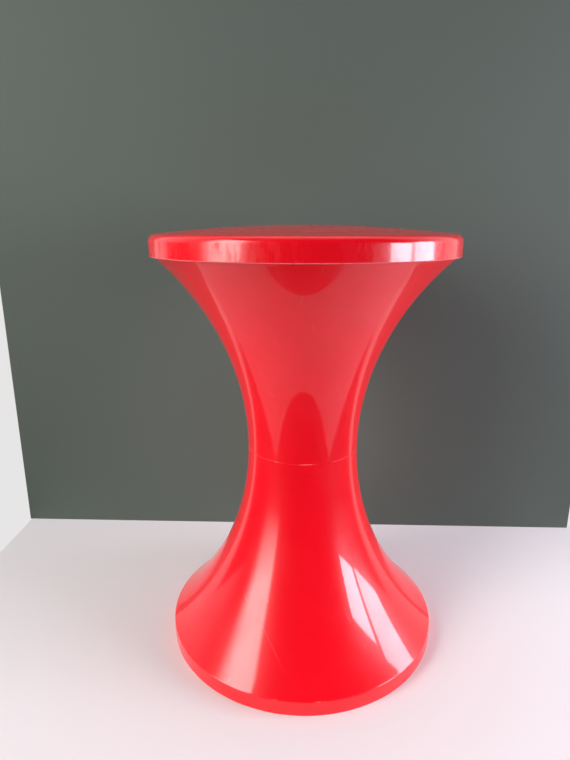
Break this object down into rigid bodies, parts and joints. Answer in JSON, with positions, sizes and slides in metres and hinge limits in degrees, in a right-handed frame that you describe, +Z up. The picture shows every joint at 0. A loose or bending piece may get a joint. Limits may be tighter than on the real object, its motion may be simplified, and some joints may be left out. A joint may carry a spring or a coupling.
{
  "type": "plastic drum stool",
  "caption": "Hourglass plastic stool of trumpet shells twist-locked at the waist, with a domed lift-off seat lid over a storage funnel.",
  "frame": {"origin": "middle of the ring that the stool stands on, at floor level", "axes": "+Z up along the stool's axis; seen from the front, +X is to the right and +Y away"},
  "size_m": [0.304, 0.304, 0.45],
  "materials": {
    "shell_red": "high-gloss moulded polypropylene",
    "lid_red": "gloss moulded polypropylene, lightly scuffed"
  },
  "bodies": {
    "lower_half": {"lower_shell": "shell_red"},
    "upper_half": {"upper_shell": "shell_red"},
    "lid": {"seat_lid": "lid_red"}
  },
  "joints": [
    {"name": "waist_twist", "type": "hinge", "parent": "lower_half", "child": "upper_half", "pos_m": [0, 0, 0.2185], "axis": [0, 0, 1], "range_deg": [0, 18]},
    {"name": "lid_lift", "type": "slide", "parent": "upper_half", "child": "lid", "axis": [0, 0, 1], "range_m": [0, 0.15]}
  ]
}
